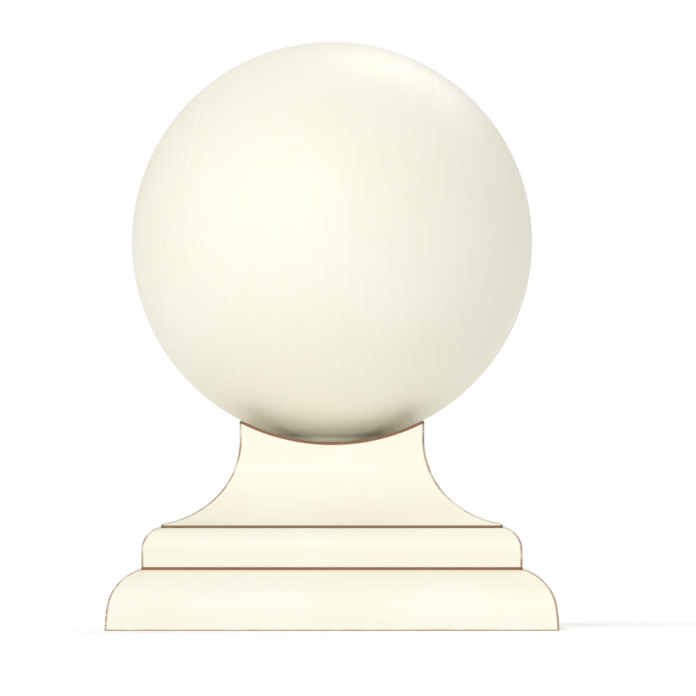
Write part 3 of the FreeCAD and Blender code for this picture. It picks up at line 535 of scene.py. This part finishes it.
def neck():
    """The neck block with the pilot holes for its four screws."""
    pilots = neck_screw_drills(NECK_LOW.z - OVERRUN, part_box("neck_screws")[1].z)
    mesh = cut(neck_mesh("neck_block"), pilots)
    material = painted_timber("painted_neck", "X", PITH["neck"])
    piece(mesh, "neck_block_painted", material, "painted_timber", "neck_block", paint=neck_paint)


# ------------------------------------------------------------------ ball


def ball_paint(point):
    """Paint down to the collar's foot. The tenon and the bolt's bore are bare."""
    bore = point.z < BOLT_TOP + 2 * HAIR and point.xy.length < BOLT_BORE + 2 * HAIR
    return 0.0 if bore or point.z < LANDING + SEAL + 2 * HAIR else 1.0


def ball():
    """The turned ball with its collar, tenon and bolt bore. Its three boards are one painted surface."""
    out = COLLAR_RADIUS + COLLAR_FILLET
    hollow = (out, BALL_CENTRE - math.sqrt((BALL_RADIUS + COLLAR_FILLET) ** 2 - out**2))
    touch = angle_at((0, BALL_CENTRE), hollow)
    sphere = arc((0, BALL_CENTRE), BALL_RADIUS, BALL_POLE, touch, BALL_STEPS)
    low, foot = BALL_LOW.z, LANDING + SEAL
    profile = sphere + arc(hollow, COLLAR_FILLET, touch + 180, 180, 6)[1:] + [
        (COLLAR_RADIUS, foot + FINE_ARRIS),
        (COLLAR_RADIUS - FINE_ARRIS, foot),
        (TENON_RADIUS, foot),
        (TENON_RADIUS, low + TENON_CHAMFER),
        (TENON_RADIUS - TENON_CHAMFER, low),
        (BOLT_BORE, low),
        (BOLT_BORE, BOLT_TOP),
        (HAIR, BOLT_TOP),
    ]
    mesh = loft("ball", turned_rings(profile, BALL_SIDES))
    material = painted_timber("painted_ball", "Z", PITH["ball"], laminated=True)
    nodes = ("ball_front_board", "ball_core_board", "ball_back_board")
    piece(mesh, "ball_painted", material, "painted_timber", *nodes, paint=ball_paint)


# ------------------------------------------------------------------ rubber seals


def squeezed_edge(half, low, high):
    """A sheet's outer edge as (half width, height), pressed a little proud in the middle."""
    height = high - low
    face = [
        (half - SEAL_FACE_BACK + SEAL_BULGE * math.sin(math.pi * share), low + height * share)
        for share in (0.12, 0.3, 0.5, 0.7, 0.88)
    ]
    return [(half - SEAL_EDGE_BACK, low), *face, (half - SEAL_EDGE_BACK, high)]


def frame_seal():
    """The seal between the rails and the plinth, a square frame."""
    low, high = PLINTH_SEAL_LOW.z, PLINTH_SEAL_HIGH.z
    edge = squeezed_edge(PLINTH_SEAL_HIGH.x, low, high)
    rings = [square_ring(half, UPRIGHT_CORNER, z) for half, z in edge]
    rings += [square_ring(INSIDE, INNER_CORNER, z) for z in (high, low)]
    screws = skirt_screw_drills(low - OVERRUN, high + OVERRUN)
    mesh = cut(loft("plinth_seal", rings, closed=True), screws)
    piece(mesh, "plinth_seal_rubber", brown_rubber(), "brown_rubber", "plinth_seal")


def square_seal():
    """The seal between the plinth and the neck."""
    low, high = NECK_SEAL_LOW.z, NECK_SEAL_HIGH.z
    edge = squeezed_edge(NECK_SEAL_HIGH.x, low, high)
    rings = [square_ring(half, UPRIGHT_CORNER, z) for half, z in edge]
    rings += [round_ring(BOLT_HOLE, z, rings[0]) for z in (high, low)]
    screws = neck_screw_drills(low - OVERRUN, high + OVERRUN)
    mesh = cut(loft("neck_seal", rings, closed=True), screws)
    piece(mesh, "neck_seal_rubber", brown_rubber(), "brown_rubber", "neck_seal")


def saddle_edging():
    """The strip let into the rim of the neck's coves, a little crowned between its edges.

    Its section is (half width, share of the strip's thickness).
    """
    under, over = saddle(BALL_RADIUS + SEAL), saddle(BALL_RADIUS)

    def height_at(share):
        return lambda x, y: under(x, y) + share * (over(x, y) - under(x, y))

    inside = NECK_TOP_HALF - EDGING_WIDTH
    section = squeezed_edge(NECK_TOP_HALF, 0.0, 1.0) + [
        (NECK_TOP_HALF - 0.5 * MM, 1.1),
        (NECK_TOP_HALF - 1.2 * MM, 1.16),
        (inside + 0.6 * MM, 1.12),
        (inside + 0.15 * MM, 1.0),
        (inside, 0.85),
        (inside, 0.0),
    ]
    rings = []
    for half, rise in section:
        corner = INNER_CORNER + (UPRIGHT_CORNER - INNER_CORNER) * (half - inside) / EDGING_WIDTH
        rings.append(square_ring(half, corner, height_at(rise)))
    mesh = loft("saddle_edging", rings, closed=True)
    piece(mesh, "saddle_edging_rubber", brown_rubber(), "brown_rubber", "saddle_edging")


# ------------------------------------------------------------------ materials


class Nodes:
    """A short way to write a material's node tree."""

    def __init__(self, name):
        self.material = bpy.data.materials.new(name)
        self.material.use_nodes = True
        self.tree = self.material.node_tree
        self.tree.nodes.clear()
        self.shader = self.add("ShaderNodeBsdfPrincipled")
        output = self.add("ShaderNodeOutputMaterial")
        self.tree.links.new(self.shader.outputs[0], output.inputs["Surface"])

    def add(self, kind, inputs=None, **settings):
        """A node with its settings, and its inputs as values or as sockets to link from."""
        node = self.tree.nodes.new(kind)
        for key, value in settings.items():
            setattr(node, key, value)
        for key, value in (inputs or {}).items():
            self.put(node, key, value)
        return node

    def put(self, node, key, value):
        """Sets an input, or links it if value is a socket."""
        if isinstance(value, bpy.types.NodeSocket):
            self.tree.links.new(value, node.inputs[key])
        else:
            node.inputs[key].default_value = value

    def math(self, operation, first, second=0.0, third=None):
        """One arithmetic node's result."""
        inputs = {0: first, 1: second}
        if third is not None:
            inputs[2] = third
        return self.add("ShaderNodeMath", inputs, operation=operation).outputs[0]

    def steps(self, value, low, high, to_low=0.0, to_high=1.0):
        """value mapped from low..high to to_low..to_high, smoothly and clamped."""
        inputs = {"Value": value, "From Min": low, "From Max": high, "To Min": to_low, "To Max": to_high}
        return self.add("ShaderNodeMapRange", inputs, interpolation_type="SMOOTHSTEP").outputs["Result"]

    def mix(self, factor, first, second):
        """A blend of two colours."""
        return self.add("ShaderNodeMix", {0: factor, 6: first, 7: second}, data_type="RGBA").outputs[2]

    def noise(self, vector, scale, detail=3.0, roughness=0.5):
        """A noise value from 0 to 1."""
        inputs = {"Vector": vector, "Scale": scale, "Detail": detail, "Roughness": roughness}
        return self.add("ShaderNodeTexNoise", inputs).outputs[0]

    def mapped(self, vector, location=(0, 0, 0), rotation=(0, 0, 0), scale=(1, 1, 1)):
        """A moved, turned and scaled vector."""
        inputs = {"Vector": vector, "Location": location, "Rotation": rotation, "Scale": scale}
        return self.add("ShaderNodeMapping", inputs).outputs[0]

    def place(self):
        """The point in the row frame."""
        return self.add("ShaderNodeTexCoord").outputs["Object"]

    def attribute(self, name):
        """A value stored on the mesh."""
        return self.add("ShaderNodeAttribute", attribute_name=name).outputs["Fac"]

    def bump(self, height):
        """A normal from a height in metres."""
        return self.add("ShaderNodeBump", {"Height": height, "Strength": 1.0, "Distance": 1.0}).outputs[0]


CREAM, CREAM_DEEP = (0.93, 0.912, 0.80, 1), (0.90, 0.862, 0.705, 1)
RUBBED = (0.36, 0.205, 0.105, 1)
EARLYWOOD, LATEWOOD = (0.72, 0.50, 0.29, 1), (0.46, 0.25, 0.11, 1)
BROWN, BROWN_WORN = (0.25, 0.126, 0.060, 1), (0.325, 0.178, 0.096, 1)
STAINLESS, STAINLESS_STAIN = (0.60, 0.59, 0.57, 1), (0.47, 0.46, 0.44, 1)
ZINC, ZINC_STAIN = (0.66, 0.68, 0.70, 1), (0.60, 0.58, 0.50, 1)
BLUED, BLUED_STAIN = (0.20, 0.21, 0.24, 1), (0.28, 0.24, 0.20, 1)
NYLON, NYLON_CLOUDY = (0.80, 0.80, 0.76, 1), (0.70, 0.70, 0.65, 1)

RING_SCALE, FIBRE_SCALE, STROKE_SCALE, DRIFT_SCALE = 88.0, 1500.0, 420.0, 22.0
PATCH_SCALE, PEEL_SCALE, LAP_SCALE, RUB_SCALE = 35.0, 900.0, 260.0, 130.0
RING_RELIEF, STROKE_RELIEF, PEEL_RELIEF, FIBRE_RELIEF = 0.045 * MM, 0.11 * MM, 0.006 * MM, 0.05 * MM
PAINT_FILM, MARK_DEPTH = 0.09 * MM, 0.04 * MM
CORNER_CLEAR, CORNER_WORN = 0.95 * MM, 0.35 * MM
GLUE_CLEAR, GLUE_SEEN = 0.35 * MM, 0.05 * MM
BOARD_SHIFT = (0.05, 0.03, 0.11)

GRAIN_TURN = {"X": (0, math.radians(90), 0), "Y": (math.radians(90), 0, 0), "Z": (0, 0, 0)}
PITH = {
    "right": (0.09, 0.0, 0.05), "back": (0.0, 0.11, -0.04),
    "left": (-0.13, 0.0, 0.06), "front": (0.0, -0.10, -0.05),
    "plinth": (0.01, 0.02, -0.045), "neck": (0.02, 0.03, -0.05), "ball": (-0.15, -0.05, 0.0),
}


def painted_timber(name, grain, pith, laminated=False):
    """Brushed satin paint over softwood. The grain runs along one axis, with the tree's heart at pith."""
    n = Nodes(name)
    place = n.place()
    heart = n.mapped(place, location=tuple(-c for c in pith))
    if laminated:
        heart, mark = laminate(n, place, heart)
    else:
        mark = rubbed_corners(n, place)
    along = n.mapped(heart, rotation=GRAIN_TURN[grain])
    rings = growth_rings(n, along)
    fibre = n.noise(n.mapped(along, scale=(1, 1, 0.02)), FIBRE_SCALE, 2.0)
    strokes = n.noise(n.mapped(along, scale=(1, 1, 0.035)), STROKE_SCALE, 3.0, 0.55)
    drift = n.noise(place, DRIFT_SCALE, 2.0)
    patches = n.steps(n.noise(along, PATCH_SCALE, 2.0), 0.35, 0.65, 0.35, 1.0)
    telegraph = n.math("MULTIPLY", rings, patches)
    bare = bare_areas(n, place)

    paint = cream_paint(n, telegraph, drift, strokes)
    if not laminated:
        paint = n.mix(mark, paint, RUBBED)
    n.put(n.shader, "Base Color", n.mix(bare, paint, bare_timber(n, rings, fibre)))

    gloss = n.math("MULTIPLY_ADD", strokes, 0.16, n.steps(drift, 0.35, 0.65, 0.33, 0.42))
    n.put(n.shader, "Roughness", n.math("MULTIPLY_ADD", bare, 0.28, gloss))
    n.put(n.shader, "Specular IOR Level", 0.45)

    relief = (
        (strokes, STROKE_RELIEF),
        (n.noise(place, PEEL_SCALE, 1.0), PEEL_RELIEF),
        (n.math("MULTIPLY", bare, fibre), FIBRE_RELIEF),
        (bare, -PAINT_FILM),
        (mark, -MARK_DEPTH),
    )
    height = n.math("MULTIPLY", telegraph, RING_RELIEF)
    for layer, depth in relief:
        height = n.math("MULTIPLY_ADD", layer, depth, height)
    n.put(n.shader, "Normal", n.bump(height))
    return n.material


def growth_rings(n, along):
    """0 to 1 from early to late wood, round the heart and drawn out along the grain."""
    inputs = {
        "Vector": n.mapped(along, scale=(1, 1, 0.12)), "Scale": RING_SCALE, "Distortion": 5.0,
        "Detail": 2.0, "Detail Scale": 0.28, "Detail Roughness": 0.45,
    }
    settings = {"wave_type": "RINGS", "rings_direction": "Z", "wave_profile": "SIN"}
    return n.add("ShaderNodeTexWave", inputs, **settings).outputs["Fac"]


def bare_areas(n, place):
    """1 where the timber is bare, with an uneven edge to the paint."""
    uneven = n.math("SUBTRACT", n.noise(place, LAP_SCALE, 3.0), 0.5)
    return n.steps(n.math("MULTIPLY_ADD", uneven, 0.7, n.attribute("paint")), 0.55, 0.45)


def cream_paint(n, telegraph, drift, strokes):
    """The paint's colour, a little deeper over the rings and in the brush marks."""
    tint = n.math("MULTIPLY_ADD", telegraph, 0.25, n.steps(drift, 0.3, 0.7, 0.0, 0.4))
    return n.mix(n.math("MULTIPLY_ADD", strokes, 0.3, tint), CREAM, CREAM_DEEP)


def bare_timber(n, rings, fibre):
    """The colour of bare pine."""
    timber = n.mix(n.steps(rings, 0.35, 0.95), EARLYWOOD, LATEWOOD)
    return n.mix(n.math("MULTIPLY", fibre, 0.35), timber, LATEWOOD)


def rubbed_corners(n, place):
    """How far the paint is rubbed through along the upright corners and mitres."""
    patches = n.steps(n.noise(place, RUB_SCALE, 4.0, 0.62), 0.36, 0.56, 0.35, 0.92)
    return n.math("MULTIPLY", patches, corner_line(n, place))


def corner_line(n, place):
    """1 along the upright corners and mitres, where the cap's faces meet on its two diagonal planes."""
    axes = n.add("ShaderNodeSeparateXYZ", {"Vector": place}).outputs
    apart = n.math("SUBTRACT", n.math("ABSOLUTE", axes["X"]), n.math("ABSOLUTE", axes["Y"]))
    return n.steps(n.math("ABSOLUTE", apart), CORNER_CLEAR, CORNER_WORN)


def laminate(n, place, heart):
    """Moves the grain on each side of the ball's two glue planes, and marks the planes."""
    across = n.add("ShaderNodeSeparateXYZ", {"Vector": place}).outputs["Y"]
    back = n.math("GREATER_THAN", across, BOARD_HALF)
    front = n.math("LESS_THAN", across, -BOARD_HALF)
    board = n.math("SUBTRACT", back, front)
    shift = n.add("ShaderNodeVectorMath", {0: BOARD_SHIFT, "Scale": board}, operation="SCALE").outputs[0]
    moved_heart = n.add("ShaderNodeVectorMath", {0: heart, 1: shift}, operation="ADD").outputs[0]
    gap = n.math("ABSOLUTE", n.math("SUBTRACT", n.math("ABSOLUTE", across), BOARD_HALF))
    return moved_heart, n.steps(gap, GLUE_CLEAR, GLUE_SEEN)


@functools.cache
def brown_rubber():
    """Brown rubber sheet: matt, faintly speckled, and paler where it is scuffed. Made once, and shared."""
    n = Nodes("scuffed_brown_rubber")
    place = n.place()
    speck = n.noise(place, 1400.0, 2.0)
    cloud = n.noise(place, 60.0, 3.0)
    worn = n.math("MULTIPLY_ADD", speck, 0.4, n.steps(cloud, 0.35, 0.7, 0.0, 0.4))
    n.put(n.shader, "Base Color", n.mix(worn, BROWN, BROWN_WORN))
    n.put(n.shader, "Roughness", n.steps(cloud, 0.3, 0.7, 0.58, 0.74))
    n.put(n.shader, "Specular IOR Level", 0.3)
    n.put(n.shader, "Normal", n.bump(n.math("MULTIPLY", speck, 0.015 * MM)))
    return n.material


def metal(name, colour, stain, rough, brushed):
    """Steel with soft stains and fine lines. brushed is how close the lines lie up the Z axis."""
    n = Nodes(name)
    place = n.place()
    cloud = n.noise(place, 180.0, 3.0)
    lines = n.noise(n.mapped(place, scale=(1, 1, brushed)), 1800.0, 2.0)
    n.put(n.shader, "Base Color", n.mix(n.steps(cloud, 0.35, 0.7, 0.0, 0.8), colour, stain))
    n.put(n.shader, "Roughness", n.math("MULTIPLY_ADD", lines, 0.18, rough))
    n.put(n.shader, "Normal", n.bump(n.math("MULTIPLY", lines, 0.006 * MM)))
    n.shader.inputs["Metallic"].default_value = 1.0
    return n.material


def nylon():
    """Natural nylon, slightly cloudy."""
    n = Nodes("natural_nylon")
    place = n.place()
    cloud = n.noise(place, 300.0, 2.0)
    n.put(n.shader, "Base Color", n.mix(cloud, NYLON, NYLON_CLOUDY))
    n.put(n.shader, "Roughness", n.steps(cloud, 0.3, 0.7, 0.38, 0.5))
    n.put(n.shader, "Normal", n.bump(n.math("MULTIPLY", n.noise(place, 1200.0, 1.0), 0.008 * MM)))
    return n.material


def small_parts():
    """Bolt and screws as welded copies of their CAD meshes. The others keep theirs, with new materials."""
    stainless = metal("satin_stainless", STAINLESS, STAINLESS_STAIN, rough=0.22, brushed=6.0)
    zinc = metal("bright_zinc", ZINC, ZINC_STAIN, rough=0.26, brushed=1.0)
    blued = metal("blued_spring_steel", BLUED, BLUED_STAIN, rough=0.32, brushed=0.2)
    threaded = {
        "skirt_screws": (stainless, "stainless_steel"),
        "neck_screws": (stainless, "stainless_steel"),
        "hanger_bolt": (zinc, "zinc_plated_steel"),
    }
    for node, (material, slot) in threaded.items():
        piece(frame["nodes"][node].data.copy(), node + "_steel", material, slot, node)
    finishes = {
        "seat_seal": brown_rubber(),
        "mitre_v_nails": blued,
        "bolt_washer": zinc,
        "lock_nut": zinc,
        "lock_nut_nylon_ring": nylon(),
    }
    for node, material in finishes.items():
        for material_slot in frame["nodes"][node].material_slots:
            material_slot.material = material


# ------------------------------------------------------------------ floor, light and camera

PICTURE_WIDTH = 231.3 * MM
AIM = (5.3 * MM, 93.3 * MM)
LENS, SENSOR = 1600.0, 36.0
FLOOR_HALF, FLOOR_LEVEL = 20.0, -0.02 * MM
FLOOR_GLOW = 0.12
SUN_SPREAD, SURROUND = 35.0, 0.63
SUNS = {"soft_key": (24.0, 32.0, 1.22), "back_fill": (205.0, 45.0, 0.6)}
WHITE, FLOOR_WHITE = (1, 1, 1, 1), (0.95, 0.95, 0.95, 1)
CLIP_NEAR = 0.5


def floor():
    """A plain white floor that runs out of sight, and that the camera sees a little brighter."""
    ways = ((-1, -1), (1, -1), (1, 1), (-1, 1))
    corners = [(x * FLOOR_HALF, y * FLOOR_HALF, FLOOR_LEVEL) for x, y in ways]
    mesh = bpy.data.meshes.new("floor")
    mesh.from_pydata(corners, [], [(0, 1, 2, 3)])
    thing = bpy.data.objects.new("floor", mesh)
    bpy.context.scene.collection.objects.link(thing)
    n = Nodes("floor_white")
    settings = {
        "Base Color": FLOOR_WHITE, "Roughness": 1.0, "Specular IOR Level": 0.0, "Emission Color": WHITE,
    }
    for socket, value in settings.items():
        n.shader.inputs[socket].default_value = value
    seen = n.add("ShaderNodeLightPath").outputs["Is Camera Ray"]
    n.put(n.shader, "Emission Strength", n.math("MULTIPLY", seen, FLOOR_GLOW))
    mesh.materials.append(n.material)


def surroundings():
    """Even white surroundings. The camera sees them at full strength, and they light the cap at less."""
    world = bpy.data.worlds.new("studio")
    world.use_nodes = True
    tree = world.node_tree
    tree.nodes.clear()
    seen, cast = tree.nodes.new("ShaderNodeBackground"), tree.nodes.new("ShaderNodeBackground")
    for background, strength in ((seen, 1.0), (cast, SURROUND)):
        background.inputs["Color"].default_value = WHITE
        background.inputs["Strength"].default_value = strength
    path, mix = tree.nodes.new("ShaderNodeLightPath"), tree.nodes.new("ShaderNodeMixShader")
    output = tree.nodes.new("ShaderNodeOutputWorld")
    tree.links.new(path.outputs["Is Camera Ray"], mix.inputs[0])
    tree.links.new(cast.outputs[0], mix.inputs[1])
    tree.links.new(seen.outputs[0], mix.inputs[2])
    tree.links.new(mix.outputs[0], output.inputs["Surface"])
    bpy.context.scene.world = world


def suns():
    """A broad soft key from the upper left in front, and a weaker fill from behind."""
    for name, (azimuth, elevation, strength) in SUNS.items():
        lamp = bpy.data.lights.new(name, "SUN")
        lamp.energy, lamp.angle = strength, math.radians(SUN_SPREAD)
        turn, rise = math.radians(azimuth), math.radians(elevation)
        level = math.cos(rise)
        towards = Vector((-math.sin(turn) * level, -math.cos(turn) * level, math.sin(rise)))
        sun = bpy.data.objects.new(name, lamp)
        sun.rotation_euler = towards.to_track_quat("Z", "Y").to_euler()
        bpy.context.scene.collection.objects.link(sun)


def camera():
    """A level view of the front through a very long lens, so that it reads as an elevation."""
    data = bpy.data.cameras.new("front")
    data.lens, data.sensor_width = LENS, SENSOR
    distance = PICTURE_WIDTH * LENS / SENSOR
    data.clip_start, data.clip_end = CLIP_NEAR, 4 * distance
    thing = bpy.data.objects.new("front", data)
    thing.location = (AIM[0], -distance, AIM[1])
    thing.rotation_euler = (math.radians(90), 0, 0)
    bpy.context.scene.collection.objects.link(thing)
    bpy.context.scene.camera = thing


def plain_colours():
    """Colours as they are, without a film curve."""
    bpy.context.scene.view_settings.view_transform = "Standard"


rails()
plinth()
neck()
ball()
frame_seal()
square_seal()
saddle_edging()
small_parts()
floor()
surroundings()
suns()
camera()
plain_colours()
